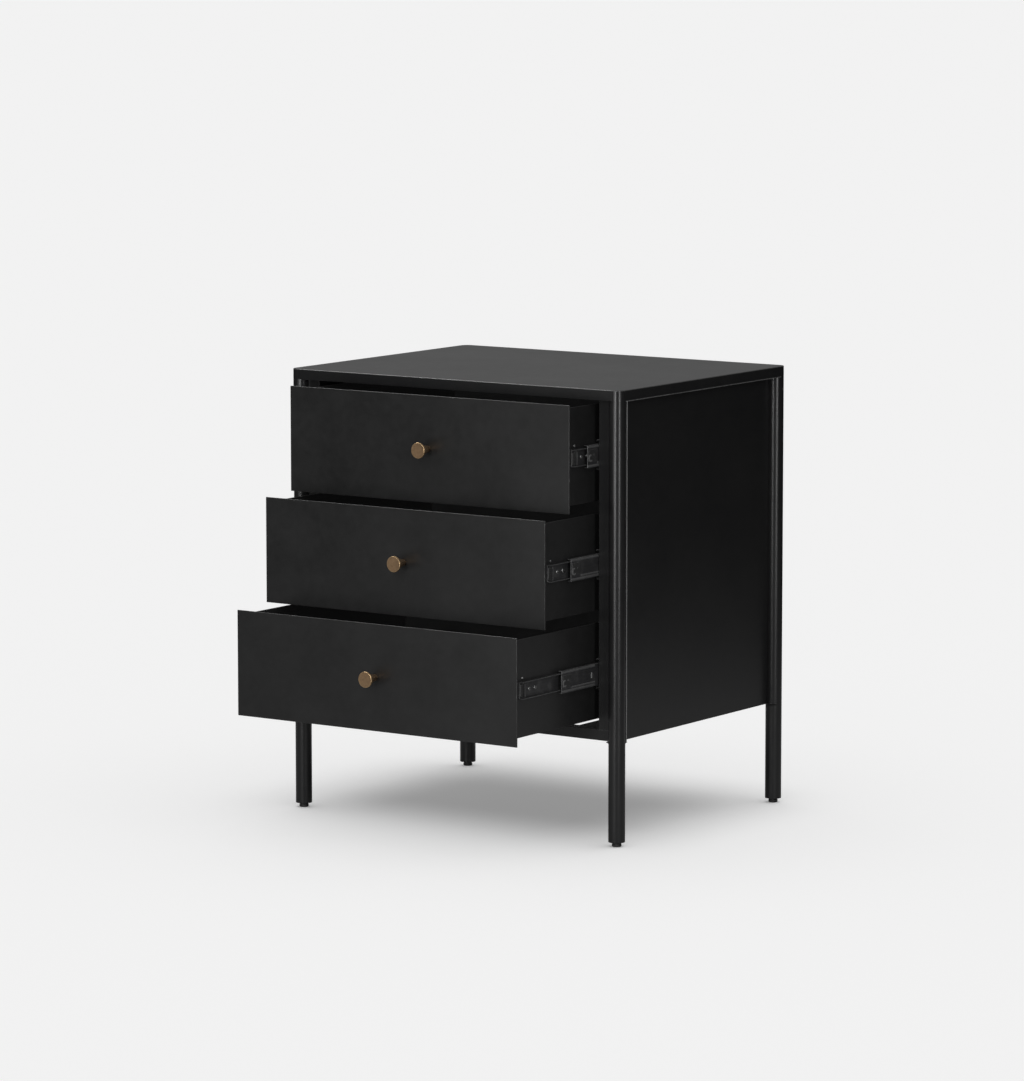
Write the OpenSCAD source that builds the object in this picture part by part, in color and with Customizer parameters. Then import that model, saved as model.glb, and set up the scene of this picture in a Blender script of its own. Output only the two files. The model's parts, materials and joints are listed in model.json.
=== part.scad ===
// Nightstand with three drawers: a folded steel case on four tube posts.
// Units are millimetres and +Z is up. The origin is on the floor under the middle of the case.
// The front faces -Y, and the three drawers stand partly open on ball-bearing slides.

/* [Case] */
// Width across the posts
case_w = 610; // [600:1:630]
// Depth across the posts
case_d = 472; // [468:1:490]
// Height of the top surface above the floor
case_h = 688; // [670:1:720]
// Height of the underside of the case above the floor
belly_z = 158; // [140:1:170]
// Height of the front bottom rail
rail_h = 16; // [12:1:20]
// Height of the rim round the top
rim_h = 16; // [12:1:20]
// Thickness of the case sheet
case_t = 1.5; // [1.2:0.1:1.8]
// How far the side and back panels are set back from the outer faces of the posts
panel_recess = 15; // [14:0.5:15]
// How far the stiles and the bottom rail are set back from the front faces of the posts
stile_recess = 13.5; // [12:0.5:14.5]

/* [Posts and feet] */
// Outer diameter of the corner posts
post_d = 25.4; // [24:0.1:26]
// Wall of the corner posts
post_wall = 1.6; // [1.2:0.1:2]
// Height of the post ends above the floor
post_end_z = 7; // [6.5:0.5:9]
// Diameter of the levelling feet
glide_d = 14.5; // [13:0.5:18]

/* [Drawers] */
// Width of the opening between the stiles
opening_w = 518.4; // [514:0.2:522]
// Gap at each side of a drawer front
side_gap = 2.2; // [1.6:0.2:3]
// Gap above and below each drawer front
front_gap = 3; // [2:0.5:4]
// Thickness of the drawer fronts
front_t = 2; // [1.5:0.5:3]
// Thickness of the drawer box sheet
box_t = 1.2; // [1:0.1:1.5]
// Depth of the drawer boxes
box_d = 420; // [400:1:425]
// How far the top drawer stands open
open_top = 63.4; // [0:0.1:300]
// How far the middle drawer stands open
open_middle = 127.1; // [0:0.1:300]
// How far the bottom drawer stands open
open_bottom = 200.4; // [0:0.1:300]

/* [Slides] */
// Length of the ball-bearing slides, which is also their travel
slide_len = 400; // [390:1:400]
// Distance from the closed drawer fronts back to the slides
slide_setback = 20; // [16:1:22]
// Balls in each row
balls_in_row = 6; // [4:1:8]

/* [Knobs] */
// Diameter of the knob face
knob_d = 24; // [20:0.1:32]
// How far the knob stands out from the drawer front
knob_l = 25; // [20:0.5:30]

/* [Hidden] */
$fn = 48;
eps = 0.5;              // how far a cutter runs past a face
weld_gap = 0.05;        // gap between welded pieces, so that their solids don't overlap

DRAWERS = ["top", "middle", "bottom"];
SIDES = ["left", "right"];
OPEN = [open_top, open_middle, open_bottom];

// Posts and case planes
post_r = post_d / 2;
post_x = case_w / 2 - post_r;
post_y = case_d / 2 - post_r;
post_cut_r = post_r + weld_gap;
face_y = -case_d / 2;               // front faces of the posts and of the closed drawers
under_top_z = case_h - case_t;
rim_z = case_h - rim_h;
rail_top_z = belly_z + rail_h;
panel_x = case_w / 2 - panel_recess;
panel_y = case_d / 2 - panel_recess;
wrap_r = post_cut_r + case_t;       // the side panels' edges are rolled round the posts
wrap_reach = 8.5;                   // the rolled edge ends this far behind the post's centre
lip_inset = 0.4;                    // panel lips end this far inside the rim's outer face
side_rail_w = 78;                   // width of the flanges under the slides
front_rail_d = 20;                  // depth of the front bottom rail
front_rail_lip = 12;                // depth of that rail's lower flange
back_lip = 26;                      // depth of the back panel's lower flange

// Stiles and rear uprights
opening_x = opening_w / 2;
stile_y = face_y + stile_recess;
stile_return = 60;
upright_y = [140, 190];

// Feet
plug_h = 18;
thread_r = 4.0;
stem_r = thread_r - 0.08;
stem_top_z = 33;
pad_h = 4.6;
neck_r = 5.2;
neck_h = 1;
pad_round = 1.3;

// Drawers
front_w = opening_w - 2 * side_gap;
front_h = (rim_z - rail_top_z - 4 * front_gap) / 3;
box_y = face_y + front_t;
box_low = 10.5;                     // box bottom above the front's lower edge
box_top = front_h - 5.5;            // box rim, measured from the front's lower edge
hem_h = 8;                          // folded hem along the top of the box
slide_t = 12.7;
box_x = opening_x - slide_t;
slide_mid_z = front_h / 2;
knob_hole_r = 2.2;

// Slide sections, measured outwards from the drawer's side and from the slide's centre line
cabinet_h = 45;
cabinet_u = 3.5;
middle_h = 34;
middle_u = [3.8, 10.1];
drawer_member_h = 26;
drawer_member_u = 7.4;
member_t = 1.2;
lip_w = 0.8;                        // turned-in lips along the mouth of the cabinet members
lip_h = 1.4;
outer_cage_h = 39.3;
outer_cage_u = [4.8, 11.2];
inner_cage_h = 29.6;
inner_cage_u = [3.8, 8.6];
cage_t = 0.8;
cage_l = 180;
cage_start = 108;                   // cage's front end behind the slide's front end
outer_ball = [6.5, 19.15, 2.05];    // distance out, distance from centre line, radius
inner_ball = [5.6, 14.4, 1.3];
ball_hole_gap = 0.1;
slide_y = face_y + slide_setback;
middle_lead = [2, 14, 2];           // how far each intermediate member has crept ahead

// Screws
screw_r = 1.9;
screw_hole_r = 2.0;
flat_head_r = 3.4;
flat_head_t = 1.1;
flat_head_gap = 0.1;
pan_head_r = 3.2;
pan_head_t = 1.4;
rivet_r = 1.4;
rivet_head_r = 2.2;
rivet_head_t = 1.2;
tip = 1;                            // how far a screw shows inside the drawer
case_screw_y = [16, 36, 381];       // behind the slide's front end
box_screw_y = [26, 41, 200, 350];
rivet_at = [30, 17.5];              // behind the front, above the slide's centre line
case_screw_l = 6;
knob_screw_l = 14;
knob_screw_head_r = 4;
knob_screw_head_t = 2.4;

// ---------------------------------------------------------------- helpers

// Extrudes an XZ outline from y0 to y1
module along_y(y0, y1) {
    translate([0, y1, 0])
        rotate([90, 0, 0])
            linear_extrude(height = y1 - y0)
                children();
}

// Draws the right-hand piece as it is for side 1, and mirrored for side 0
module on_side(side) {
    if (side == 1)
        children();
    else
        mirror([1, 0, 0])
            children();
}

// Repeats at the four post centres
module at_posts() {
    for (x = [-post_x, post_x])
        for (y = [-post_y, post_y])
            translate([x, y, 0])
                children();
}

// Everything inside the posts, taken away from the pieces welded to them
module post_cutters() {
    at_posts()
        cylinder(h = case_h, r = post_cut_r);
}

module block(from, to) {
    translate(from)
        cube(to - from);
}

module rounded_plate(w, d, r, t) {
    linear_extrude(height = t) {
        square([w - 2 * r, d], center = true);
        square([w, d - 2 * r], center = true);
        for (x = [-1, 1])
            for (y = [-1, 1])
                translate([x * (w / 2 - r), y * (d / 2 - r)])
                    circle(r = r);
    }
}

// Half section of a disc with a rounded rim, from the axis outwards
module disc_section(r, h, e) {
    square([r - e, h]);
    translate([0, e])
        square([r, h - 2 * e]);
    for (y = [e, h - e])
        translate([r - e, y])
            circle(r = e);
}

// Channel section between x0 and x1, open towards -X or towards +X
module channel(x0, x1, h, t, open_left) {
    difference() {
        translate([x0, -h / 2])
            square([x1 - x0, h]);
        translate([open_left ? x0 - t : x0 + t, -h / 2 + t])
            square([x1 - x0, h - 2 * t]);
    }
}

module rod_x(x0, x1, r) {
    translate([x0, 0, 0])
        rotate([0, 90, 0])
            cylinder(h = x1 - x0, r = r);
}

// ---------------------------------------------------------------- case

module post(x, y) {
    color([0.09, 0.09, 0.09])
        translate([x * post_x, y * post_y, post_end_z])
            difference() {
                cylinder(h = under_top_z - post_end_z, r = post_r);
                translate([0, 0, -eps])
                    cylinder(h = under_top_z - post_end_z + 2 * eps, r = post_r - post_wall);
            }
}

module top_panel() {
    color([0.11, 0.11, 0.11]) {
        translate([0, 0, under_top_z])
            rounded_plate(case_w, case_d, post_r, case_t);
        difference() {
            union() {
                for (m = [0, 1])
                    mirror([0, m, 0])
                        block([-post_x, face_y, rim_z], [post_x, face_y + case_t, under_top_z]);
                for (m = [0, 1])
                    mirror([m, 0, 0])
                        block([case_w / 2 - case_t, -post_y, rim_z], [case_w / 2, post_y, under_top_z]);
            }
            post_cutters();
        }
    }
}

// Plan of the right side panel: a flat web whose two edges are rolled round the posts
module side_panel_plan() {
    difference() {
        union() {
            translate([panel_x - case_t, -post_y])
                square([case_t, 2 * post_y]);
            for (m = [0, 1])
                mirror([0, m, 0])
                    intersection() {
                        translate([post_x, -post_y])
                            circle(r = wrap_r);
                        translate([panel_x - case_t, wrap_reach - post_y])
                            square([panel_recess + case_t, wrap_r]);
                    }
        }
        for (y = [-post_y, post_y])
            translate([post_x, y])
                circle(r = post_cut_r);
    }
}

module side_panel(side) {
    color([0.08, 0.08, 0.08])
        on_side(side) {
            translate([0, 0, belly_z])
                linear_extrude(height = rim_z - belly_z)
                    side_panel_plan();
            difference() {
                block([panel_x - case_t, -post_y, rim_z - case_t],
                      [case_w / 2 - lip_inset, post_y, rim_z]);
                post_cutters();
            }
        }
}

module back_panel() {
    color([0.08, 0.08, 0.08])
        difference() {
            union() {
                block([-post_x, panel_y, belly_z], [post_x, panel_y + case_t, rim_z]);
                block([-post_x, panel_y, rim_z - case_t], [post_x, -face_y - lip_inset, rim_z]);
                block([-post_x, panel_y - back_lip, belly_z], [post_x, panel_y, belly_z + case_t]);
            }
            post_cutters();
            for (m = [0, 1])
                mirror([m, 0, 0])
                    block([panel_x - case_t - weld_gap, 0, belly_z - eps],
                          [case_w, post_y - post_r + case_t, case_h]);
        }
}

module front_bottom_rail() {
    color([0.1, 0.1, 0.1])
        difference() {
            union() {
                block([-post_x, stile_y, belly_z], [post_x, stile_y + case_t, rail_top_z]);
                block([-post_x, stile_y, rail_top_z - case_t], [post_x, stile_y + front_rail_d, rail_top_z]);
                block([-post_x, stile_y, belly_z], [post_x, stile_y + front_rail_lip, belly_z + case_t]);
            }
            post_cutters();
            for (m = [0, 1])
                mirror([m, 0, 0])
                    block([panel_x - case_t - weld_gap, -post_y, belly_z - eps], [case_w, 0, case_h]);
        }
}

module side_bottom_rail(side) {
    leg_x = panel_x - case_t - weld_gap;
    front_y = stile_y + front_rail_d + weld_gap;
    back_y = panel_y - back_lip - weld_gap;
    color([0.08, 0.08, 0.08])
        on_side(side) {
            block([leg_x - side_rail_w, front_y, rail_top_z - case_t], [leg_x, back_y, rail_top_z]);
            block([leg_x - case_t, front_y, belly_z], [leg_x, back_y, rail_top_z]);
        }
}

// Angle beside the drawer opening: a narrow face and a return that carries the slides
module stile(side) {
    color([0.08, 0.08, 0.08])
        on_side(side)
            difference() {
                union() {
                    block([opening_x, stile_y, rail_top_z], [post_x, stile_y + case_t, under_top_z]);
                    block([opening_x, stile_y, rail_top_z],
                          [opening_x + case_t, stile_y + stile_return, under_top_z]);
                }
                post_cutters();
                case_screw_holes([0, 1], screw_hole_r);
            }
}

module rear_upright(side) {
    color([0.08, 0.08, 0.08])
        on_side(side)
            difference() {
                union() {
                    block([opening_x, upright_y[0], rail_top_z],
                          [opening_x + case_t, upright_y[1], under_top_z]);
                    block([opening_x, upright_y[1] - case_t, rail_top_z],
                          [panel_x - case_t - weld_gap, upright_y[1], under_top_z]);
                }
                case_screw_holes([2], screw_hole_r);
            }
}

// Repeats at the numbered screws of all three right-hand cabinet members
module at_case_screws(numbers) {
    for (i = [0 : 2])
        for (n = numbers)
            translate([opening_x, slide_y + case_screw_y[n], drawer_z(i) + slide_mid_z])
                children();
}

module case_screw_holes(numbers, r) {
    at_case_screws(numbers)
        rod_x(-eps, case_t + eps, r);
}

// Low-headed screws that sit flush in the cabinet members
module case_slide_screws() {
    color([0.35, 0.35, 0.35])
        for (side = [0, 1])
            on_side(side)
                at_case_screws([0, 1, 2]) {
                    rod_x(-flat_head_t, 0, flat_head_r);
                    rod_x(-weld_gap, case_screw_l, screw_r);
                }
}

// ---------------------------------------------------------------- feet

module post_plugs() {
    color([0.12, 0.12, 0.12])
        at_posts()
            translate([0, 0, post_end_z])
                difference() {
                    cylinder(h = plug_h, r = post_r - post_wall - weld_gap);
                    translate([0, 0, -eps])
                        cylinder(h = plug_h + 2 * eps, r = thread_r);
                }
}

module foot(x, y) {
    color([0.05, 0.05, 0.05])
        translate([x * post_x, y * post_y, 0])
            rotate_extrude() {
                disc_section(glide_d / 2, pad_h, pad_round);
                square([neck_r, pad_h + neck_h]);
                square([stem_r, stem_top_z]);
            }
}

// ---------------------------------------------------------------- drawers

// Height of a front's lower edge, counting the drawers from the top
function drawer_z(i) = rail_top_z + front_gap + (2 - i) * (front_h + front_gap);

// Moves a piece from the closed drawer to its place at rest; share is 1 for the drawer itself
module drawn(i, share = 1) {
    translate([0, -OPEN[i] * share, drawer_z(i)])
        children();
}

module drawer_front(i) {
    color([0.1, 0.1, 0.1])
        drawn(i)
            difference() {
                block([-front_w / 2, face_y, 0], [front_w / 2, face_y + front_t, front_h]);
                translate([0, 0, slide_mid_z])
                    along_y(face_y - eps, face_y + front_t + eps)
                        circle(r = knob_hole_r);
            }
}

// Repeats at the slide screws of the right side of a box
module at_box_screws() {
    for (y = box_screw_y)
        translate([box_x, slide_y + y, slide_mid_z])
            children();
}

module at_rivet() {
    translate([box_x, face_y + rivet_at[0], slide_mid_z + rivet_at[1]])
        children();
}

// A bottom and four hemmed walls, welded along their edges
module drawer_box(i) {
    back_y = box_y + box_d;
    inner = box_t + weld_gap;
    color([0.07, 0.07, 0.07])
        drawn(i)
            difference() {
                union() {
                    block([inner - box_x, box_y + inner, box_low],
                          [box_x - inner, back_y - inner, box_low + box_t]);
                    for (m = [0, 1])
                        translate([0, m * (2 * box_y + box_d), 0])
                            mirror([0, m, 0]) {
                                block([-box_x, box_y, box_low],
                                      [box_x, box_y + box_t, box_top]);
                                block([box_t + inner - box_x, box_y, box_top - hem_h],
                                      [box_x - box_t - inner, box_y + 2 * box_t, box_top]);
                            }
                    for (m = [0, 1])
                        mirror([m, 0, 0]) {
                            block([box_x - box_t, box_y + inner, box_low],
                                  [box_x, back_y - inner, box_top]);
                            block([box_x - 2 * box_t, box_y + inner, box_top - hem_h],
                                  [box_x, back_y - inner, box_top]);
                        }
                }
                translate([0, 0, slide_mid_z])
                    along_y(box_y - eps, box_y + box_t + eps)
                        circle(r = knob_hole_r);
                for (side = [0, 1])
                    on_side(side) {
                        at_box_screws()
                            rod_x(-box_t - eps, eps, screw_hole_r);
                        at_rivet()
                            rod_x(-box_t - eps, eps, rivet_r + weld_gap);
                    }
            }
}

// Pan-headed slide screws and the rivets at the box's front corners
module box_fasteners(i) {
    color([0.45, 0.45, 0.45])
        drawn(i)
            for (side = [0, 1])
                on_side(side) {
                    at_box_screws() {
                        rod_x(-box_t - tip, member_t + weld_gap, screw_r);
                        rod_x(member_t, member_t + pan_head_t, pan_head_r);
                    }
                    at_rivet() {
                        rod_x(-box_t - tip, weld_gap, rivet_r);
                        rod_x(0, rivet_head_t, rivet_head_r);
                    }
                }
}

// Half section of a knob, with its threaded hole along the axis
module knob_section() {
    face_t = 3.5;
    neck_top_r = 9.5;
    neck_base_r = 5;
    difference() {
        union() {
            polygon([[0, 0], [neck_base_r, 0], [neck_base_r, 1.5],
                     [neck_top_r, knob_l - face_t], [0, knob_l - face_t]]);
            translate([0, knob_l - face_t])
                disc_section(knob_d / 2, face_t, 0.9);
        }
        translate([-eps, -eps])
            square([screw_r + weld_gap + eps, knob_screw_l + 1 + eps]);
    }
}

module knob(i) {
    color([0.42, 0.33, 0.2])
        drawn(i)
            translate([0, face_y, slide_mid_z])
                rotate([90, 0, 0])
                    rotate_extrude()
                        knob_section();
}

module knob_screw(i) {
    head_y = box_y + box_t;
    color([0.45, 0.45, 0.45])
        drawn(i)
            translate([0, 0, slide_mid_z]) {
                along_y(face_y - knob_screw_l, head_y + weld_gap)
                    circle(r = screw_r);
                along_y(head_y, head_y + knob_screw_head_t)
                    circle(r = knob_screw_head_r);
            }
}

// ---------------------------------------------------------------- slides

// Extrudes a slide section along the right-hand slide, from its front end back over a length
module slide_part(start, length) {
    translate([box_x, 0, slide_mid_z])
        along_y(slide_y + start, slide_y + start + length)
            children();
}

// Channel with turned-in lips, open towards the drawer
module cabinet_section() {
    cavity_h = cabinet_h - 2 * member_t;
    mouth_h = cavity_h - 2 * lip_h;
    difference() {
        translate([cabinet_u, -cabinet_h / 2])
            square([slide_t - cabinet_u, cabinet_h]);
        translate([cabinet_u + lip_w, -cavity_h / 2])
            square([slide_t - cabinet_u - lip_w - member_t, cavity_h]);
        translate([cabinet_u - eps, -mouth_h / 2])
            square([lip_w + 2 * eps, mouth_h]);
    }
}

module cabinet_member(i, side) {
    color([0.1, 0.1, 0.1])
        on_side(side)
            difference() {
                drawn(i, 0)
                    slide_part(0, slide_len)
                        cabinet_section();
                at_case_screws([0, 1, 2])
                    rod_x(-member_t - eps, eps, flat_head_r + flat_head_gap);
            }
}

// The intermediate members move half as far as the drawer
module intermediate_member(i, side) {
    color([0.12, 0.12, 0.12])
        on_side(side)
            drawn(i, 0.5)
                slide_part(-middle_lead[i], slide_len)
                    channel(middle_u[0], middle_u[1], middle_h, member_t, true);
}

module drawer_member(i, side) {
    color([0.1, 0.1, 0.1])
        on_side(side)
            drawn(i)
                difference() {
                    slide_part(0, slide_len)
                        channel(0, drawer_member_u, drawer_member_h, member_t, false);
                    at_box_screws()
                        rod_x(-eps, member_t + eps, screw_hole_r);
                }
}

// Two ball cages, one in each slide, with their balls; each cage is pierced for its balls
module ball_cages(i, share, span, h, ball) {
    pitch = cage_l / balls_in_row;
    for (side = [0, 1])
        on_side(side)
            drawn(i, share) {
                difference() {
                    slide_part(cage_start, cage_l)
                        channel(span[0], span[1], h, cage_t, true);
                    at_balls(pitch, ball[0])
                        cylinder(h = h + 2 * eps, r = ball[2] + ball_hole_gap, center = true);
                }
                for (row = [-1, 1])
                    at_balls(pitch, ball[0])
                        translate([0, 0, row * ball[1]])
                            sphere(r = ball[2]);
            }
}

module at_balls(pitch, out) {
    for (n = [0 : balls_in_row - 1])
        translate([box_x + out, slide_y + cage_start + (n + 0.5) * pitch, slide_mid_z])
            children();
}

// Between the cabinet members and the intermediate members: a quarter of the drawer's travel
module outer_cages(i) {
    color([0.5, 0.5, 0.5])
        ball_cages(i, 0.25, outer_cage_u, outer_cage_h, outer_ball);
}

// Between the intermediate members and the drawer members: three quarters of the travel
module inner_cages(i) {
    color([0.5, 0.5, 0.5])
        ball_cages(i, 0.75, inner_cage_u, inner_cage_h, inner_ball);
}

// ---------------------------------------------------------------- assembly

post(-1, -1);  // post_front_left
post(1, -1);  // post_front_right
post(-1, 1);  // post_back_left
post(1, 1);  // post_back_right
top_panel();
side_panel(0);  // side_panel_left
side_panel(1);  // side_panel_right
back_panel();
stile(0);  // stile_left
stile(1);  // stile_right
rear_upright(0);  // rear_upright_left
rear_upright(1);  // rear_upright_right
front_bottom_rail();
side_bottom_rail(0);  // side_bottom_rail_left
side_bottom_rail(1);  // side_bottom_rail_right
post_plugs();
case_slide_screws();
foot(-1, -1);  // foot_front_left
foot(1, -1);  // foot_front_right
foot(-1, 1);  // foot_back_left
foot(1, 1);  // foot_back_right

for (i = [0 : 2]) {
    drawer_front(i);
    drawer_box(i);
    knob(i);
    knob_screw(i);
    box_fasteners(i);
    outer_cages(i);
    inner_cages(i);
    for (s = [0, 1]) {
        cabinet_member(i, s);
        intermediate_member(i, s);
        drawer_member(i, s);
    }
}
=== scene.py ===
"""Looks of the nightstand with drawers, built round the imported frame.

Metres, +Z up, the drawer fronts face -Y.
"""

import json
import math

import bmesh
import bpy
from mathutils import Matrix, Vector

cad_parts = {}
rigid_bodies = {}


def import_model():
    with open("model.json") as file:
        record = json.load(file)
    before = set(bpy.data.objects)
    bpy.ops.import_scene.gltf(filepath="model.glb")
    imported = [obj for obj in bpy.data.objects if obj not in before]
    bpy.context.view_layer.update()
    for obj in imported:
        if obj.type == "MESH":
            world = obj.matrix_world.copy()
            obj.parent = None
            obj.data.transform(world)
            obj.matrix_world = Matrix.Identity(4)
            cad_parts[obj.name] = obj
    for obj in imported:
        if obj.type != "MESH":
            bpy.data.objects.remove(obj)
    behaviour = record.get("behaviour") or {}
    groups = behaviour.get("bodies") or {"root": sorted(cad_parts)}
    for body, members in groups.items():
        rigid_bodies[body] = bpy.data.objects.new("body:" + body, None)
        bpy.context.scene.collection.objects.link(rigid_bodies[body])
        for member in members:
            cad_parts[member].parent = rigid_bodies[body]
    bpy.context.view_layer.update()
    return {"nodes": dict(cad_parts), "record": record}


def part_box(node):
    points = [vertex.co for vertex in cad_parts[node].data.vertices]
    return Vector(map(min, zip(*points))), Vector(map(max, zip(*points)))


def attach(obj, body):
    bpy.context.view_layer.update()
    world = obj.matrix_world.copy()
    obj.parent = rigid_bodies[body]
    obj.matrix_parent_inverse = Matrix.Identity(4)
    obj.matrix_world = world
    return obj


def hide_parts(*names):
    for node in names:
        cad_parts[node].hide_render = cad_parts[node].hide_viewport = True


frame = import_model()
NODES = frame["nodes"]
MM = 0.001
DRAWERS = ("top", "middle", "bottom")
SIDES = ("left", "right")
POSTS = ("post_front_left", "post_front_right", "post_back_left", "post_back_right")
FEET = tuple(p.replace("post", "foot") for p in POSTS)


# ---------------------------------------------------------------- materials


class Shader:
    """A node material around one Principled shader."""

    def __init__(self, name):
        self.mat = bpy.data.materials.new(name)
        self.mat.use_nodes = True
        self.tree = self.mat.node_tree
        self.bsdf = self.tree.nodes["Principled BSDF"]
        self.place = self.node("ShaderNodeTexCoord").outputs["Object"]

    def node(self, kind, **sockets):
        made = self.tree.nodes.new(kind)
        for name, value in sockets.items():
            self.feed(made.inputs[name.replace("_", " ")], value)
        return made

    def feed(self, socket, value):
        if isinstance(value, bpy.types.NodeSocket):
            self.tree.links.new(value, socket)
        else:
            socket.default_value = value

    def set(self, **sockets):
        for name, value in sockets.items():
            self.feed(self.bsdf.inputs[name.replace("_", " ")], value)

    def stretch(self, scale):
        """Object coordinates scaled per axis."""
        return self.node("ShaderNodeMapping", Vector=self.place, Scale=scale).outputs[0]

    def noise(self, scale, detail=2.0, rough=0.5, at=None):
        made = self.node("ShaderNodeTexNoise", Vector=at or self.place, Scale=scale, Detail=detail,
                         Roughness=rough)
        return made.outputs[0]

    def ramp(self, value, low, high, to_low=0.0, to_high=1.0):
        """Maps low..high of a value to to_low..to_high, clamped."""
        made = self.node("ShaderNodeMapRange", Value=value)
        for socket, number in zip(made.inputs[1:5], (low, high, to_low, to_high)):
            socket.default_value = number
        return made.outputs[0]

    def mix(self, share, a, b):
        """Blends two colours, each a linear RGB triple or a socket."""
        made = self.tree.nodes.new("ShaderNodeMix")
        made.data_type = "RGBA"
        self.feed(made.inputs["Factor"], share)
        for socket, colour in ((made.inputs[6], a), (made.inputs[7], b)):
            self.feed(socket, colour if isinstance(colour, bpy.types.NodeSocket) else (*colour, 1.0))
        return made.outputs[2]

    def maths(self, operation, a, b=0.0):
        made = self.tree.nodes.new("ShaderNodeMath")
        made.operation = operation
        self.feed(made.inputs[0], a)
        self.feed(made.inputs[1], b)
        return made.outputs[0]

    def bump(self, height, depth, over=None):
        """A bump of the given depth in metres, laid over another normal if there is one."""
        made = self.node("ShaderNodeBump", Height=height, Distance=depth)
        if over is not None:
            self.feed(made.inputs["Normal"], over)
        return made.outputs[0]

    def edge_rub_and_highlight(self, share):
        """The share of rubbing and of painted highlight on the rolled edges of a softened piece."""
        edge = self.node("ShaderNodeAttribute")
        edge.attribute_name = "edge"
        return self.maths("MULTIPLY", edge.outputs["Fac"], share)


def painted_steel(name, dark, light, rough, cloud_scale, edge_and_highlight_grey):
    """Satin black powder coat: soft clouding, a fine orange-peel skin, grey where it is rubbed thin at the
    edges and where the edge attribute paints highlight lines.
    """
    s = Shader(name)
    cloud = s.ramp(s.noise(cloud_scale, 4, 0.62), 0.34, 0.68)
    mottle = s.ramp(s.noise(cloud_scale * 9, 3, 0.6), 0.32, 0.7)
    shade = s.maths("ADD", s.maths("MULTIPLY", cloud, 0.6), s.maths("MULTIPLY", mottle, 0.45))
    colour = s.mix(shade, dark, light)
    scuff = s.ramp(s.noise(260, 4, 0.7), 0.45, 0.75)
    rub_and_highlight = s.edge_rub_and_highlight(s.ramp(scuff, 0.0, 1.0, 0.35, 1.0))
    s.set(
        Base_Color=s.mix(rub_and_highlight, colour, edge_and_highlight_grey),
        Roughness=s.ramp(shade, 0.0, 1.0, rough[0], rough[1]),
        Specular_IOR_Level=0.5,
        IOR=1.5,
        Normal=s.bump(s.noise(1500, 2, 0.5), 0.000012, s.bump(s.noise(330, 2, 0.5), 0.000022)),
    )
    return s.mat


def slide_steel(name):
    """Black zinc on cold-drawn steel: drawing lines along the slide, rubbed spots, and a light grey painted
    highlight along the rolled edges.
    """
    s = Shader(name)
    lines = s.noise(1.0, 4, 0.6, at=s.stretch((900, 12, 900)))
    rubbed = s.ramp(s.noise(70, 4, 0.65), 0.5, 0.72)
    colour = s.mix(s.ramp(lines, 0.3, 0.7), (0.016, 0.016, 0.017), (0.035, 0.035, 0.036))
    s.set(
        # The light grey on the rolled edges is a painted highlight.
        Base_Color=s.mix(s.edge_rub_and_highlight(0.7), s.mix(rubbed, colour, (0.05, 0.05, 0.05)), (0.3, 0.3, 0.3)),
        Metallic=0.25,
        Roughness=s.ramp(lines, 0.3, 0.7, 0.3, 0.44),
        Normal=s.bump(lines, 0.00002, s.bump(s.noise(900, 2), 0.00002)),
    )
    return s.mat


def aged_brass(name):
    """Brushed brass under a brown patina, brighter where hands have rubbed it."""
    s = Shader(name)
    strokes = s.noise(1.0, 5, 0.7, at=s.stretch((300, 300, 3800)))
    patina = s.ramp(s.noise(210, 4, 0.65), 0.35, 0.7)
    specks = s.ramp(s.noise(900, 3, 0.7), 0.62, 0.75)
    base = s.mix(patina, (0.36, 0.235, 0.135), (0.25, 0.162, 0.095))
    base = s.mix(s.ramp(strokes, 0.35, 0.65, 0.0, 0.5), base, (0.46, 0.31, 0.18))
    base = s.mix(s.maths("MULTIPLY", specks, 0.5), base, (0.07, 0.045, 0.03))
    s.set(
        Base_Color=s.mix(s.edge_rub_and_highlight(0.9), base, (0.62, 0.43, 0.24)),
        Metallic=1.0,
        Roughness=s.ramp(strokes, 0.3, 0.7, 0.34, 0.5),
        Normal=s.bump(strokes, 0.00001, s.bump(s.noise(1400, 2), 0.000005)),
    )
    return s.mat


def brushed_steel(name, dark, light, rough):
    """Plated steel with fine turning marks and dull spots."""
    s = Shader(name)
    lines = s.noise(1.0, 4, 0.6, at=s.stretch((2600, 260, 2600)))
    dull = s.ramp(s.noise(420, 4, 0.65), 0.42, 0.7)
    s.set(
        Base_Color=s.mix(dull, s.mix(s.ramp(lines, 0.3, 0.7), dark, light), dark),
        Metallic=1.0,
        Roughness=s.ramp(dull, 0.0, 1.0, rough[0], rough[1]),
        Normal=s.bump(lines, 0.00002),
    )
    return s.mat


def moulded_plastic(name, dark, light, rubbed):
    """Matt moulded nylon with a spark-eroded grain, light dust and rubbed edges."""
    s = Shader(name)
    dust = s.ramp(s.noise(120, 4, 0.7), 0.5, 0.75)
    s.set(
        Base_Color=s.mix(s.edge_rub_and_highlight(0.9), s.mix(dust, dark, light), rubbed),
        Roughness=s.ramp(s.noise(340, 3), 0.3, 0.7, 0.5, 0.66),
        Normal=s.bump(s.noise(2400, 3, 0.6), 0.00004),
    )
    return s.mat


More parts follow.
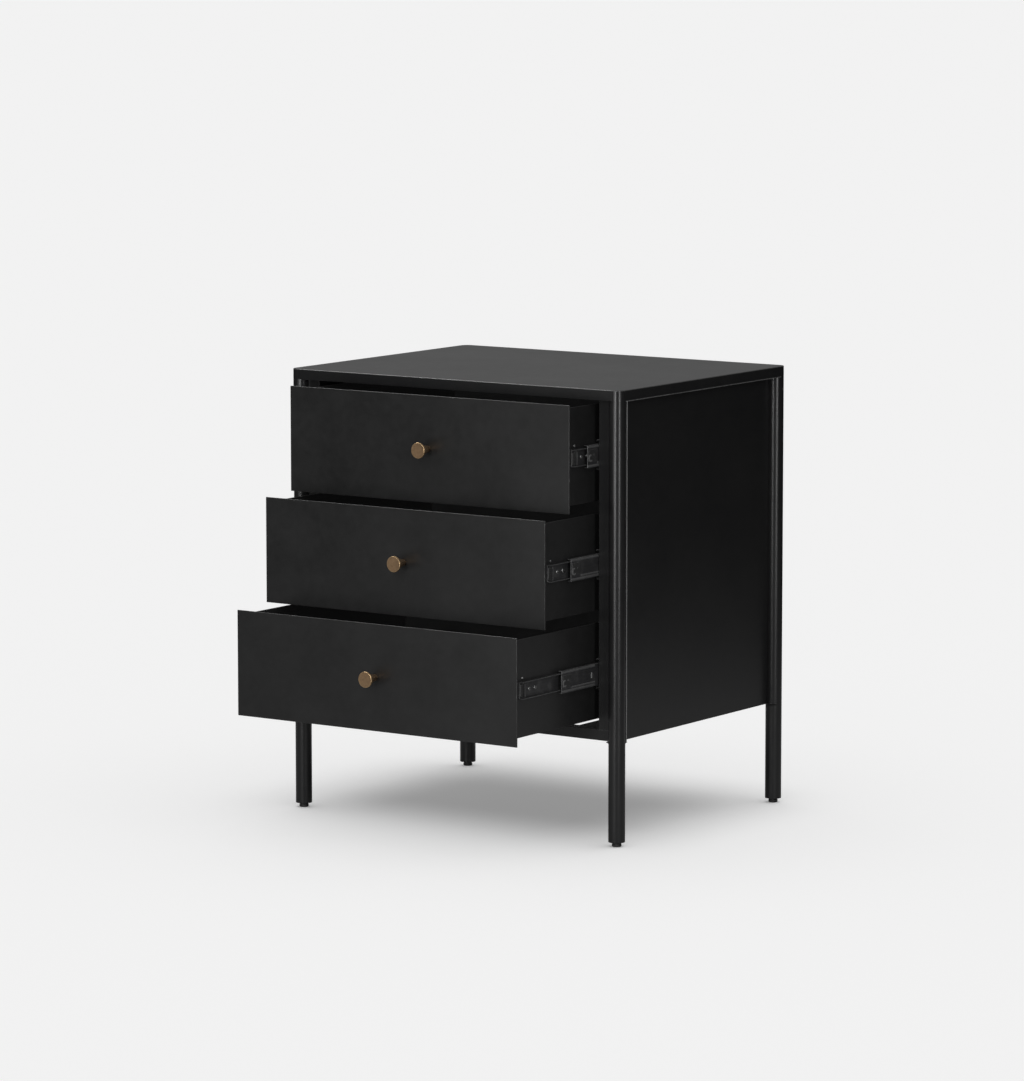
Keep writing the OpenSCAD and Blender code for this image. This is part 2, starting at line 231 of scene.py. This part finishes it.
def material_set():
    return {
        # The last colour of each paint is its grey for rubbed edges and for painted highlight lines.
        "case_black": painted_steel("case_black", (0.0075, 0.0075, 0.008), (0.0105, 0.0105, 0.0105),
                                    (0.275, 0.31), 7, (0.2, 0.2, 0.2)),
        "drawer_black": painted_steel("drawer_black", (0.008, 0.008, 0.008), (0.0125, 0.0125, 0.0125),
                                      (0.3, 0.38), 9, (0.09, 0.09, 0.09)),
        "slide_black": slide_steel("slide_black"),
        "aged_brass": aged_brass("aged_brass"),
        "screw_steel": brushed_steel("screw_steel", (0.2, 0.2, 0.2), (0.42, 0.42, 0.42), (0.28, 0.42)),
        "cage_steel": brushed_steel("cage_steel", (0.24, 0.24, 0.25), (0.5, 0.5, 0.5), (0.22, 0.36)),
        "foot_plastic": moulded_plastic("foot_plastic", (0.012, 0.012, 0.012), (0.03, 0.03, 0.03),
                                        (0.2, 0.2, 0.2)),
    }


MATERIALS = material_set()
SLOT_OF = {row["node"]: row["material_slot"] for row in frame["record"]["subparts"]}
BODY_OF = {n: body for body, names in frame["record"]["behaviour"]["bodies"].items() for n in names}

for node_name, node_object in NODES.items():
    finish_here = MATERIALS[SLOT_OF[node_name]]
    if not node_object.material_slots:
        node_object.data.materials.append(finish_here)
    for place in node_object.material_slots:
        place.material = finish_here


# ---------------------------------------------------------------- mesh helpers


# Values of the edge attribute, which says how far the surface of a face has rubbed and where a painted
# highlight lies on it
RIB_HIGHLIGHT = 0.25                 # painted highlight on pressed ribs
HOOK_WEAR = 0.35                # on the moulded hook of a slide
EDGE_RUB_AND_HIGHLIGHT = 0.4                 # on every rolled edge: rubbed in scattered spots on the paints, a painted highlight all along on the slides
RUB_AND_HIGHLIGHT_EDGE = 1.0                 # nearly all along: rubbed on the knob rims, a painted highlight on the side panels' top lips and the slides' stop plates
PAINTED_HIGHLIGHT_LINE = 2.2                 # a painted highlight line, bright along the whole length
LARGE_FACE = 2e-3               # faces above this area, in square metres, are plain flats of sheet
CREASE = 50                     # degrees above which an edge stays sharp
FOLD = 40                       # degrees above which an outward edge is rolled over


def edge_layer(bm):
    """The face layer that the materials read as the edge attribute."""
    return bm.faces.layers.float.get("edge") or bm.faces.layers.float.new("edge")


def new_piece(name, bm, material, body):
    """Turns a bmesh into a piece of a material that rides on a body."""
    mesh = bpy.data.meshes.new(name)
    bmesh.ops.recalc_face_normals(bm, faces=bm.faces)
    for face in bm.faces:
        face.smooth = face.calc_area() < LARGE_FACE
    for edge in bm.edges:
        edge.smooth = not edge.is_manifold or edge.calc_face_angle() < math.radians(CREASE)
    bm.to_mesh(mesh)
    bm.free()
    mesh.materials.append(MATERIALS[material])
    piece = bpy.data.objects.new(name, mesh)
    bpy.context.scene.collection.objects.link(piece)
    weighted = piece.modifiers.new("even_shading", "WEIGHTED_NORMAL")
    weighted.keep_sharp = True
    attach(piece, body)
    return piece


def roll_edges(bm, width, segments, chosen=None, *, least):
    """Rounds the sharp outward edges that are longer than the least and marks the new faces with the edge
    value for rubbing and painted highlight.
    """
    layer = edge_layer(bm)
    sharp = [
        e for e in bm.edges
        if e.is_manifold and e.is_convex and e.calc_face_angle() > math.radians(FOLD)
        and e.calc_length() > least and (chosen is None or chosen(e))
    ]
    made = bmesh.ops.bevel(bm, geom=sharp, offset=width, offset_type="OFFSET", segments=segments,
                           profile=0.5, affect="EDGES", clamp_overlap=True)
    for face in made["faces"]:
        face[layer] = EDGE_RUB_AND_HIGHLIGHT


def softened(node, *rolls, least=2 * MM, bright=None):
    """Stands for a sheet-metal node with the same sheet, its cut and folded edges rounded over.

    Each roll is (width, segments) or (width, segments, test for the edges it takes). Faces whose middle
    passes the bright test become a painted highlight line.
    """
    bm = bmesh.new()
    bm.from_mesh(NODES[node].data)
    bmesh.ops.remove_doubles(bm, verts=bm.verts, dist=0.002 * MM)
    bmesh.ops.dissolve_limit(bm, angle_limit=math.radians(0.5), verts=bm.verts, edges=bm.edges)
    layer = edge_layer(bm)
    for width, segments, *chosen in rolls:
        roll_edges(bm, width, segments, *chosen, least=least)
    if bright:
        for face in bm.faces:
            if bright(face.calc_center_median()):
                face[layer] = RUB_AND_HIGHLIGHT_EDGE
    piece = new_piece(node + "_finished", bm, SLOT_OF[node], BODY_OF[node])
    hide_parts(node)


# ---------------------------------------------------------------- sheet metal


def along_top(z):
    """Takes the edges that lie at height z."""
    return lambda e: all(abs(v.co.z - z) < 0.05 * MM for v in e.verts)


def panel_lip(p):
    """Takes the outer cut edge of a side panel's top lip, under the rim, which is painted as a highlight
    line.
    """
    sheet, set_in, slack = 1.5 * MM, 0.4 * MM, 0.5 * MM
    lip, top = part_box("top_panel")[1].x - set_in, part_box("side_panel_right")[1].z
    return abs(abs(p.x) - lip) < slack and top - sheet - 0.1 * MM < p.z < top + 0.1 * MM


def sheet_metal():
    """Every sheet of the case and the drawers, with rolled edges."""
    softened("top_panel", (1.2 * MM, 4, along_top(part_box("top_panel")[1].z)), (0.35 * MM, 2), least=MM)
    for side in SIDES:
        # The lip under the rim is painted as a highlight line.
        softened("side_panel_" + side, (0.4 * MM, 2), bright=panel_lip)
        softened("stile_" + side, (0.45 * MM, 2))
        softened("side_bottom_rail_" + side, (0.4 * MM, 2))
        softened("rear_upright_" + side, (0.4 * MM, 2))
    softened("front_bottom_rail", (0.45 * MM, 2))
    softened("back_panel", (0.4 * MM, 2))
    for drawer in DRAWERS:
        softened(drawer + "_front", (0.55 * MM, 3))
        softened(drawer + "_box", (0.3 * MM, 2))


sheet_metal()


# ---------------------------------------------------------------- turned parts


def lathe(bm, centre, axis, profile, segments, bright=(), rubbed=RUB_AND_HIGHLIGHT_EDGE):
    """Adds a turned solid: profile is (distance along the axis, radius), from end to end.

    Bands whose number is in bright get the rubbed value of the edge attribute: rubbing on a knob's rim, a
    painted highlight on a side panel's bead.
    """
    layer = edge_layer(bm)
    axis = Vector(axis).normalized()
    across = axis.orthogonal().normalized()
    over = axis.cross(across)
    rings = []
    for along, radius in profile:
        middle = Vector(centre) + axis * along
        if radius < 1e-7:
            rings.append([bm.verts.new(middle)])
            continue
        turns = (2 * math.pi * k / segments for k in range(segments))
        rings.append([bm.verts.new(middle + (across * math.cos(t) + over * math.sin(t)) * radius)
                      for t in turns])
    for number, (one, two) in enumerate(zip(rings, rings[1:])):
        for k in range(segments):
            n = (k + 1) % segments
            corners = [one[k % len(one)], one[n % len(one)], two[n % len(two)], two[k % len(two)]]
            face = bm.faces.new(list(dict.fromkeys(corners)))
            face[layer] = rubbed if number in bright else 0.0


def arc(centre, radius, start, stop, steps=5):
    """Points of a round stretch of an outline; angles in degrees from its first axis."""
    turns = (math.radians(start + (stop - start) * k / steps) for k in range(steps + 1))
    return [(centre[0] + radius * math.cos(t), centre[1] + radius * math.sin(t)) for t in turns]


def islands(node):
    """Boxes of the separate solids of a CAD node."""
    bm = bmesh.new()
    bm.from_mesh(NODES[node].data)
    bmesh.ops.remove_doubles(bm, verts=bm.verts, dist=0.002 * MM)
    left, found = set(bm.verts), []
    while left:
        group, queue = set(), [left.pop()]
        while queue:
            v = queue.pop()
            group.add(v)
            for other in (e.other_vert(v) for e in v.link_edges):
                if other in left:
                    left.discard(other)
                    queue.append(other)
        found.append([Vector([pick(v.co[i] for v in group) for i in range(3)]) for pick in (min, max)])
    bm.free()
    return found


def turned_knob(drawer):
    """Flat disc on a conical neck, its front rim rubbed bright."""
    lo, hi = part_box(drawer + "_knob")
    long, r = hi.y - lo.y, (hi.x - lo.x) / 2
    disc_t, round_r, dish = 3.5 * MM, 0.7 * MM, 0.12 * MM
    neck_r, base_r, base_t = 9.5 * MM, 5 * MM, 1.5 * MM
    bore_r, bore = 1.95 * MM, 15 * MM
    profile = [(bore, 0), (bore, bore_r), (0, bore_r), (0, base_r), (base_t, base_r),
               (long - disc_t - 0.8 * MM, neck_r - 0.35 * MM), (long - disc_t, neck_r)]
    profile += arc((long - disc_t + round_r, r - round_r), round_r, 180, 90)
    profile += arc((long - round_r, r - round_r), round_r, 90, 0)
    last = len(profile) - 2
    profile += [(long - dish, r - round_r - 0.5 * MM), (long - dish, 0)]
    rim = range(last - 6, last + 1)
    bm = bmesh.new()
    lathe(bm, ((lo.x + hi.x) / 2, hi.y, (lo.z + hi.z) / 2), (0, -1, 0), profile, 96, rim)
    piece = new_piece(drawer + "_knob_turned", bm, "aged_brass", BODY_OF[drawer + "_knob"])
    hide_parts(drawer + "_knob")


def cross_recess(bm, centre, axis, rim, reach, arm, depth):
    """Closes a screw head inside its rim ring with a driver's cross sunk into it."""
    axis = Vector(axis)
    up = Vector((0, 0, 1))
    side = axis.cross(up)
    a, r = arm / 2, reach
    outline = [(r, -a), (r, a), (a, a), (a, r), (-a, r), (-a, a),
               (-r, a), (-r, -a), (-a, -a), (-a, -r), (a, -r), (a, -a)]
    lips = [bm.verts.new(centre + side * x + up * z) for x, z in outline]
    deep = [bm.verts.new(v.co - axis * depth) for v in lips]
    mouth = [bm.edges.new((lips[k], lips[(k + 1) % 12])) for k in range(12)]
    for k in range(12):
        n = (k + 1) % 12
        bm.faces.new((lips[k], lips[n], deep[n], deep[k]))
    bm.faces.new(deep)
    bmesh.ops.triangle_fill(bm, edges=mouth + rim, use_beauty=True)


def screws_and_rivets(drawer):
    """Pan-headed screws with crossed recesses and domed rivets on the sides of a drawer box."""
    node = drawer + "_box_fasteners"
    smallest_screw_head, crown = 2.6 * MM, (5, 6, 7)
    bm = bmesh.new()
    for lo, hi in islands(node):
        way = 1 if lo.x > 0 else -1
        head_r, start = (hi.z - lo.z) / 2, lo.x if way > 0 else hi.x
        long = hi.x - lo.x
        screw = head_r > smallest_screw_head
        shank_r, head_t = (1.9 * MM, 1.4 * MM) if screw else (1.4 * MM, 1.2 * MM)
        under = long - head_t
        profile = [(0, 0), (0, shank_r * 0.7), (0.4 * MM, shank_r), (under, shank_r), (under, head_r),
                   (under + 0.35 * head_t, head_r)]
        centre = Vector((start, (lo.y + hi.y) / 2, (lo.z + hi.z) / 2))
        if screw:
            profile += [(under + 0.7 * head_t, head_r * 0.93), (under + 0.92 * head_t, head_r * 0.8),
                        (long, head_r * 0.66)]
            lathe(bm, centre, (way, 0, 0), profile, 24, crown)
            tip = centre + Vector((way * long, 0, 0))
            rim = [e for e in bm.edges if e.is_boundary
                   and all(abs(v.co.x - tip.x) < 1e-6 and (v.co - tip).length < head_r for v in e.verts)]
            cross_recess(bm, tip, (way, 0, 0), rim, reach=1.5 * MM, arm=0.7 * MM, depth=0.7 * MM)
        else:
            profile += [(under + 0.75 * head_t, head_r * 0.85), (under + 0.95 * head_t, head_r * 0.5),
                        (long, 0)]
            lathe(bm, centre, (way, 0, 0), profile, 20, crown)
    piece = new_piece(node + "_driven", bm, "screw_steel", BODY_OF[node])
    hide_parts(node)


def levelling_foot(node):
    """Moulded pad with a rounded tread, a waist and a short threaded stem."""
    lo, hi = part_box(node)
    centre, r = ((lo.x + hi.x) / 2, (lo.y + hi.y) / 2, lo.z), (hi.x - lo.x) / 2
    pad_h, tread_r, brow_r = 4.6 * MM, 1.3 * MM, 0.8 * MM
    neck_r, neck_h = 5.2 * MM, 1 * MM
    stem_r, pitch, run_out = 3.92 * MM, 1.25 * MM, 0.3 * MM
    root_r = stem_r - 0.6 * MM
    profile = [(0, 0)] + arc((tread_r, r - tread_r), tread_r, 180, 90)
    profile += arc((pad_h - brow_r, r - brow_r), brow_r, 90, 0, 3)
    profile += [(pad_h, neck_r), (pad_h + neck_h, neck_r), (pad_h + neck_h, root_r)]
    along, top = pad_h + neck_h + 0.4 * MM, hi.z - lo.z
    while along + pitch < top - run_out:
        profile += [(along, root_r), (along + pitch / 2, stem_r)]
        along += pitch
    profile += [(top - run_out, root_r), (top, root_r - run_out), (top, 0)]
    bm = bmesh.new()
    lathe(bm, centre, (0, 0, 1), profile, 48)
    piece = new_piece(node + "_moulded", bm, "foot_plastic", BODY_OF[node])
    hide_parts(node)


for drawer in DRAWERS:
    turned_knob(drawer)
    screws_and_rivets(drawer)
for foot in FEET:
    levelling_foot(foot)


# ---------------------------------------------------------------- slides


# Pressed ribs of an intermediate member, in mm: height above its middle, half width, rise, start and
# end behind its front
RIBS = ((14.2, 1.9, 0.95, 0.6, 88), (-10.2, 1.5, 0.9, 26, 88), (-14.3, 1.9, 0.95, 0.6, 88))
SUNK = 0.1 * MM                 # how far a detail goes into the sheet it sits on


def prism(bm, points, axis, start, stop, rubbed=0.0):
    """Adds a solid with the given outline, run along x (0) or y (1) from start to stop."""
    layer = edge_layer(bm)

    def at(p, t):
        return Vector((t, *p)) if axis == 0 else Vector((p[0], t, p[1]))

    ends = [[bm.verts.new(at(p, t)) for p in points] for t in (start, stop)]
    faces = [bm.faces.new(ends[0]), bm.faces.new(ends[1][::-1])]
    for k in range(len(points)):
        n = (k + 1) % len(points)
        faces.append(bm.faces.new((ends[0][n], ends[0][k], ends[1][k], ends[1][n])))
    for face in faces:
        face[layer] = rubbed


def half_round(middle, half, rise, steps=8):
    """Outline of a pressed rib: (height above the web, distance along z)."""
    turns = (math.pi * k / steps for k in range(steps + 1))
    return [(rise * math.sin(t), middle + half * math.cos(t)) for t in turns]


def upright_plate(front, mid, start, stop, low, high):
    """Outline of an upright plate, in mm behind a slide's front and above its middle."""
    near, far, low, high = front + start * MM, front + stop * MM, mid + low * MM, mid + high * MM
    return [(near, low), (far, low), (far, high), (near, high)]


def rolled_piece(name, bm, width, least, material, body):
    """Makes a piece of small solids with their edges rolled over."""
    bmesh.ops.recalc_face_normals(bm, faces=bm.faces)
    roll_edges(bm, width, 2, least=least)
    new_piece(name, bm, material, body)


def member_face(node, way, outward):
    """Front and middle height of a slide member, and a function for x at a height out of its web."""
    lo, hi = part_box(node)
    web = hi.x if (way > 0) == outward else lo.x
    return lo.y, (lo.z + hi.z) / 2, lambda height: web + way * height


def intermediate_details(node, way):
    """Pressed ribs and a stop, and a moulded retainer with a crescent hook and a boss."""
    front, mid, out = member_face(node, way, outward=True)
    ribs = bmesh.new()
    # The ribs and the stop plate are painted lighter through the edge attribute as a highlight.
    for middle, half, rise, start, stop in RIBS:
        outline = [(out(h * MM - SUNK), mid + z * MM) for h, z in half_round(middle, half, rise)]
        prism(ribs, outline, 1, front + start * MM, front + stop * MM, RIB_HIGHLIGHT)
    stop_plate = [(out(-SUNK), mid - 4 * MM), (out(0.7 * MM), mid - 3.6 * MM),
                  (out(0.7 * MM), mid + 4.6 * MM), (out(-SUNK), mid + 5 * MM)]
    prism(ribs, stop_plate, 1, front + 79 * MM, front + 80.6 * MM, RUB_AND_HIGHLIGHT_EDGE)
    new_piece(node + "_ribs", ribs, "slide_black", BODY_OF[node])

    retainer = bmesh.new()
    near, nose, far = front + 3 * MM, front + 24 * MM, front + 26 * MM
    low, high, cut = mid - 7.5 * MM, mid + 10 * MM, 2 * MM
    plate = [(near, low), (nose, low), (far, low + cut), (far, high - cut), (nose, high), (near, high)]
    prism(retainer, plate, 0, out(-SUNK), out(0.35 * MM))
    centre = (front + 7.2 * MM, mid - 2.5 * MM)
    hollow = (centre[0] + 1.1 * MM, centre[1])
    crescent = arc(centre, 5.6 * MM, 70, 320, 22) + arc(hollow, 3.4 * MM, 70, 320, 22)[::-1]
    prism(retainer, crescent, 0, out(0.3 * MM), out(1.05 * MM), HOOK_WEAR)
    boss = arc((front + 17 * MM, mid + 1.5 * MM), 1.7 * MM, 0, 342, 19)
    prism(retainer, boss, 0, out(0.3 * MM), out(0.8 * MM))
    rolled_piece(node + "_retainer", retainer, 0.2 * MM, 0.3 * MM, "foot_plastic", BODY_OF[node])


def drawer_member_details(node, way):
    """A bent end tab and a moulded latch at the front of a drawer member."""
    front, mid, out = member_face(node, way, outward=False)
    tab = bmesh.new()
    prism(tab, upright_plate(front, mid, 9, 10.2, -10.8, 9.5), 0, out(1.1 * MM), out(5.2 * MM))
    rolled_piece(node + "_end_tab", tab, 0.3 * MM, MM, "slide_black", BODY_OF[node])
    latch = bmesh.new()
    prism(latch, upright_plate(front, mid, 1.5, 8.6, -9, 8), 0, out(1.1 * MM), out(2.4 * MM))
    rolled_piece(node + "_latch", latch, 0.4 * MM, MM, "foot_plastic", BODY_OF[node])


for drawer in DRAWERS:
    for side, way in (("left", -1), ("right", 1)):
        intermediate_details(f"{drawer}_intermediate_member_{side}", way)
        drawer_member_details(f"{drawer}_drawer_member_{side}", way)
        for member in ("cabinet", "intermediate", "drawer"):
            # Their rolled edges get the light grey painted highlight of the slide finish.
            softened(f"{drawer}_{member}_member_{side}", (0.3 * MM, 2))


# ---------------------------------------------------------------- welds and bent edges


def panel_bead(side):
    """A thin bead at the edge of a side panel where it ends on the front post, painted as a bright
    highlight line.
    """
    way = 1 if side == "right" else -1
    lo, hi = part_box("side_panel_" + side)
    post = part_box("post_front_" + side)
    wrap_r, behind, thick = 14 * MM, 8.5 * MM, 0.9 * MM
    x = (post[0].x + post[1].x) / 2 + way * math.sqrt(wrap_r * wrap_r - behind * behind)
    y = (post[0].y + post[1].y) / 2 + behind
    long = hi.z - lo.z - 2 * MM
    profile = [(0, 0), (0, thick), (long, thick), (long, 0)]
    bm = bmesh.new()
    # The bead is painted as a bright highlight line all along.
    lathe(bm, (x, y, lo.z + 0.4 * MM), (0, 0, 1), profile, 12, (1,), PAINTED_HIGHLIGHT_LINE)
    new_piece("side_panel_" + side + "_bead", bm, "case_black", "case")


def weld_collars():
    """Concave fillets round the inner flanks of the posts, under the case."""
    size, sunk, steps = 3.2 * MM, 0.2 * MM, 5
    spread, parts = math.radians(95), 40
    bm = bmesh.new()
    for name in POSTS:
        lo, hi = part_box(name)
        middle, r, z = (lo + hi) / 2, (hi.x - lo.x) / 2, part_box("front_bottom_rail")[0].z
        inward = math.atan2(-math.copysign(1, middle.y), -math.copysign(1, middle.x))
        outline = [(r - sunk, z + sunk), (r + size, z + sunk)]
        outline += [(r + size * (1 - math.sin(t)), z - size * (1 - math.cos(t)))
                    for t in (math.pi / 2 * k / steps for k in range(steps + 1))]
        outline += [(r - sunk, z - size)]
        turns = [inward - spread + 2 * spread * k / parts for k in range(parts + 1)]
        rings = [[bm.verts.new((middle.x + d * math.cos(t), middle.y + d * math.sin(t), h))
                  for d, h in outline] for t in turns]
        for one, two in zip(rings, rings[1:]):
            for k in range(len(outline)):
                n = (k + 1) % len(outline)
                bm.faces.new((one[k], one[n], two[n], two[k]))
        bm.faces.new(rings[0])
        bm.faces.new(rings[-1][::-1])
    new_piece("weld_collars", bm, "case_black", "case")


weld_collars()
for side in SIDES:
    panel_bead(side)


# ---------------------------------------------------------------- stage


FLOOR_SIZE = 120.0              # metres from the middle to an edge
FLOOR_ALBEDO = 0.8
FLOOR_GLOW = 0.259              # lifts the pool of shadow to a soft grey
PAPER = (-0.3, -0.6, 0.0)       # middle of the pale paper
PAPER_EDGE = (1.4, 3.4)         # it fades out between these distances from there
PAPER_BOUNCE = 0.36             # how pale it is to what stands on it
BACKDROP = 0.868
CARD_PLACE = (-0.018, 0.026)    # middle of the card under the case
CARD_SIZE = (0.604, 0.458)
# Upright softboxes round the front right post: azimuth in degrees, distance, width, height of the low
# and of the high edge in metres, power in watts
SOFTBOXES = {
    "strip_front": (2, 2.6, 0.42, 0.05, 3.4, 49),
    "strip_right": (60, 2.6, 0.4, 0.1, 3.4, 40),
    "panel_front": (-12, 2.8, 1.2, 0.3, 1.7, 2.6),
    "panel_low": (-16, 2.8, 1.4, 0.02, 0.5, 2.7),
    "panel_side_low": (140, 2.8, 1.4, 0.02, 0.3, 0.02),
}
# What the room sends back, as (towards, tightness, radiance)
ROOM = (
    ((0, 0, 1), 0, 0.225),
    ((-0.56, 0.83, 0.1), 4, 0.08),
)


def studio_floor():
    """Pale seamless floor, wide enough to fill the view to its horizon."""
    bm = bmesh.new()
    bmesh.ops.create_grid(bm, x_segments=1, y_segments=1, size=FLOOR_SIZE)
    mesh = bpy.data.meshes.new("studio_floor")
    bm.to_mesh(mesh)
    bm.free()
    made = bpy.data.objects.new("studio_floor", mesh)
    bpy.context.scene.collection.objects.link(made)
    mat = bpy.data.materials.new("studio_floor")
    mat.use_nodes = True
    tree = mat.node_tree
    tree.nodes.clear()
    rays, choose, both = (tree.nodes.new("ShaderNode" + k) for k in ("LightPath", "MixShader", "AddShader"))
    seen, bounce = tree.nodes.new("ShaderNodeBsdfDiffuse"), tree.nodes.new("ShaderNodeBsdfDiffuse")
    glow, out = tree.nodes.new("ShaderNodeEmission"), tree.nodes.new("ShaderNodeOutputMaterial")
    seen.inputs["Color"].default_value = (FLOOR_ALBEDO,) * 3 + (1,)
    place, reach, fade = (tree.nodes.new("ShaderNode" + k) for k in ("TexCoord", "VectorMath", "MapRange"))
    reach.operation = "DISTANCE"
    reach.inputs[1].default_value = PAPER
    fade.interpolation_type = "SMOOTHSTEP"
    for socket, value in zip(fade.inputs[1:5], (*PAPER_EDGE, PAPER_BOUNCE, 0.0)):
        socket.default_value = value
    tree.links.new(place.outputs["Object"], reach.inputs[0])
    tree.links.new(reach.outputs["Value"], fade.inputs[0])
    tree.links.new(fade.outputs[0], bounce.inputs["Color"])
    glow.inputs["Strength"].default_value = FLOOR_GLOW
    tree.links.new(seen.outputs[0], both.inputs[0])
    tree.links.new(glow.outputs[0], both.inputs[1])
    tree.links.new(rays.outputs["Is Camera Ray"], choose.inputs[0])
    tree.links.new(bounce.outputs[0], choose.inputs[1])
    tree.links.new(both.outputs[0], choose.inputs[2])
    tree.links.new(choose.outputs[0], out.inputs[0])
    mesh.materials.append(mat)
    return made


def shadow_card():
    """A card under the case that no camera or mirror sees; it shapes the soft pool of shadow."""
    bm = bmesh.new()
    bmesh.ops.create_grid(bm, x_segments=1, y_segments=1, size=0.5)
    for v in bm.verts:
        v.co = (CARD_PLACE[0] + v.co.x * CARD_SIZE[0], CARD_PLACE[1] + v.co.y * CARD_SIZE[1],
                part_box("side_panel_left")[0].z)
    mesh = bpy.data.meshes.new("shadow_card")
    bm.to_mesh(mesh)
    bm.free()
    card = bpy.data.objects.new("shadow_card", mesh)
    bpy.context.scene.collection.objects.link(card)
    card.visible_camera = card.visible_diffuse = card.visible_glossy = False
    mesh.materials.append(MATERIALS["case_black"])
    return card


def only(name, *objects, state="INCLUDE"):
    """A light-linking collection."""
    made = bpy.data.collections.new(name)
    for o in objects:
        made.objects.link(o)
    for row in made.collection_objects:
        row.light_linking.link_state = state
    return made


def lamp(name, kind, energy, at, aim, receivers, **values):
    """A lamp at one place aimed at another, that lights a collection of receivers."""
    data = bpy.data.lights.new(name, kind)
    data.energy = energy
    for key, value in values.items():
        setattr(data, key, value)
    made = bpy.data.objects.new(name, data)
    made.location = at
    made.rotation_mode = "QUATERNION"
    made.rotation_quaternion = (Vector(aim) - Vector(at)).to_track_quat("-Z", "Y")
    made.light_linking.receiver_collection = receivers
    bpy.context.scene.collection.objects.link(made)
    return made


def softboxes(receivers):
    """The upright softboxes, aimed level at the post; azimuths run from -Y towards +X."""
    lo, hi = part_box("post_front_right")
    for name, (azimuth, distance, width, low, high, power) in SOFTBOXES.items():
        at = Vector(((lo.x + hi.x) / 2, (lo.y + hi.y) / 2, (low + high) / 2))
        a = math.radians(azimuth)
        way = Vector((math.sin(a), -math.cos(a), 0))
        lamp(name, "AREA", power, at + way * distance, at, receivers,
             shape="RECTANGLE", size=width, size_y=high - low)


def lighting(floor, card):
    """A broad lamp for the floor's shadow, softboxes for the object, a fill for its dark insides."""
    wide, over, aslant = math.radians(88), (0.124, 0.13, 2.0), (0.5, -1.0, 0.3)
    key = lamp("floor_lamp", "SUN", 1.89, over, (0, 0, 0), only("floor_only", floor), angle=wide)
    key.light_linking.blocker_collection = only("floor_blockers", card, *(NODES[n] for n in POSTS + FEET))
    not_floor = only("not_floor", floor, state="EXCLUDE")
    softboxes(not_floor)
    lamp("box_above", "AREA", 37, (-1.34, -0.55, 2.66), (0, -0.24, 0.69), not_floor,
         shape="RECTANGLE", size=0.8, size_y=0.8)
    insides = only("insides", *(o for o in bpy.data.objects if "_box_" in o.name or "_member_" in o.name))
    fill = lamp("inside_fill", "SUN", 1.0, aslant, (0, 0, 0), insides, angle=math.radians(30))
    fill.light_linking.blocker_collection = only("nothing_blocks", floor)


def studio_air():
    """Even backdrop for the camera, and a darker graded room for what the object mirrors."""
    world = bpy.data.worlds.new("studio_air")
    bpy.context.scene.world = world
    world.use_nodes = True
    tree = world.node_tree
    tree.nodes.clear()

    def node(kind, operation=None):
        made = tree.nodes.new("ShaderNode" + kind)
        if operation:
            made.operation = operation
        return made

    way = node("TexCoord").outputs["Generated"]
    total = None
    for towards, tightness, radiance in ROOM:
        along, front = node("VectorMath", "DOT_PRODUCT"), node("Math", "MAXIMUM")
        lobe, share = node("Math", "POWER"), node("Math", "MULTIPLY_ADD")
        along.inputs[1].default_value = Vector(towards).normalized()
        front.inputs[1].default_value = 0.0001
        lobe.inputs[1].default_value = tightness
        share.inputs[1].default_value = radiance
        share.inputs[2].default_value = 0.0
        tree.links.new(way, along.inputs[0])
        tree.links.new(along.outputs["Value"], front.inputs[0])
        tree.links.new(front.outputs[0], lobe.inputs[0])
        tree.links.new(lobe.outputs[0], share.inputs[0])
        if total is not None:
            tree.links.new(total, share.inputs[2])
        total = share.outputs[0]
    room, back = node("Background"), node("Background")
    tree.links.new(total, room.inputs["Strength"])
    back.inputs["Color"].default_value = (BACKDROP,) * 3 + (1,)
    rays, choose, out = node("LightPath"), node("MixShader"), node("OutputWorld")
    tree.links.new(rays.outputs["Is Camera Ray"], choose.inputs[0])
    tree.links.new(room.outputs[0], choose.inputs[1])
    tree.links.new(back.outputs[0], choose.inputs[2])
    tree.links.new(choose.outputs[0], out.inputs[0])


def camera():
    """Long lens from the front right, a little above the top."""
    azimuth, pitch, roll = (math.radians(v) for v in (34.4905, 7.5482, -0.028))
    forward = Vector((-math.sin(azimuth) * math.cos(pitch), math.cos(azimuth) * math.cos(pitch),
                      -math.sin(pitch)))
    data = bpy.data.cameras.new("camera")
    data.lens = 172.04
    data.sensor_width = 36.0
    data.clip_end = 400
    made = bpy.data.objects.new("camera", data)
    made.location = (4.4776, -6.5918, 1.4724)
    made.rotation_mode = "QUATERNION"
    made.rotation_quaternion = (forward.to_track_quat("-Z", "Y")
                                @ Matrix.Rotation(roll, 3, "Z").to_quaternion())
    bpy.context.scene.collection.objects.link(made)
    bpy.context.scene.camera = made


camera()
studio_air()
lighting(studio_floor(), shadow_card())
bpy.context.scene.view_settings.view_transform = "Standard"
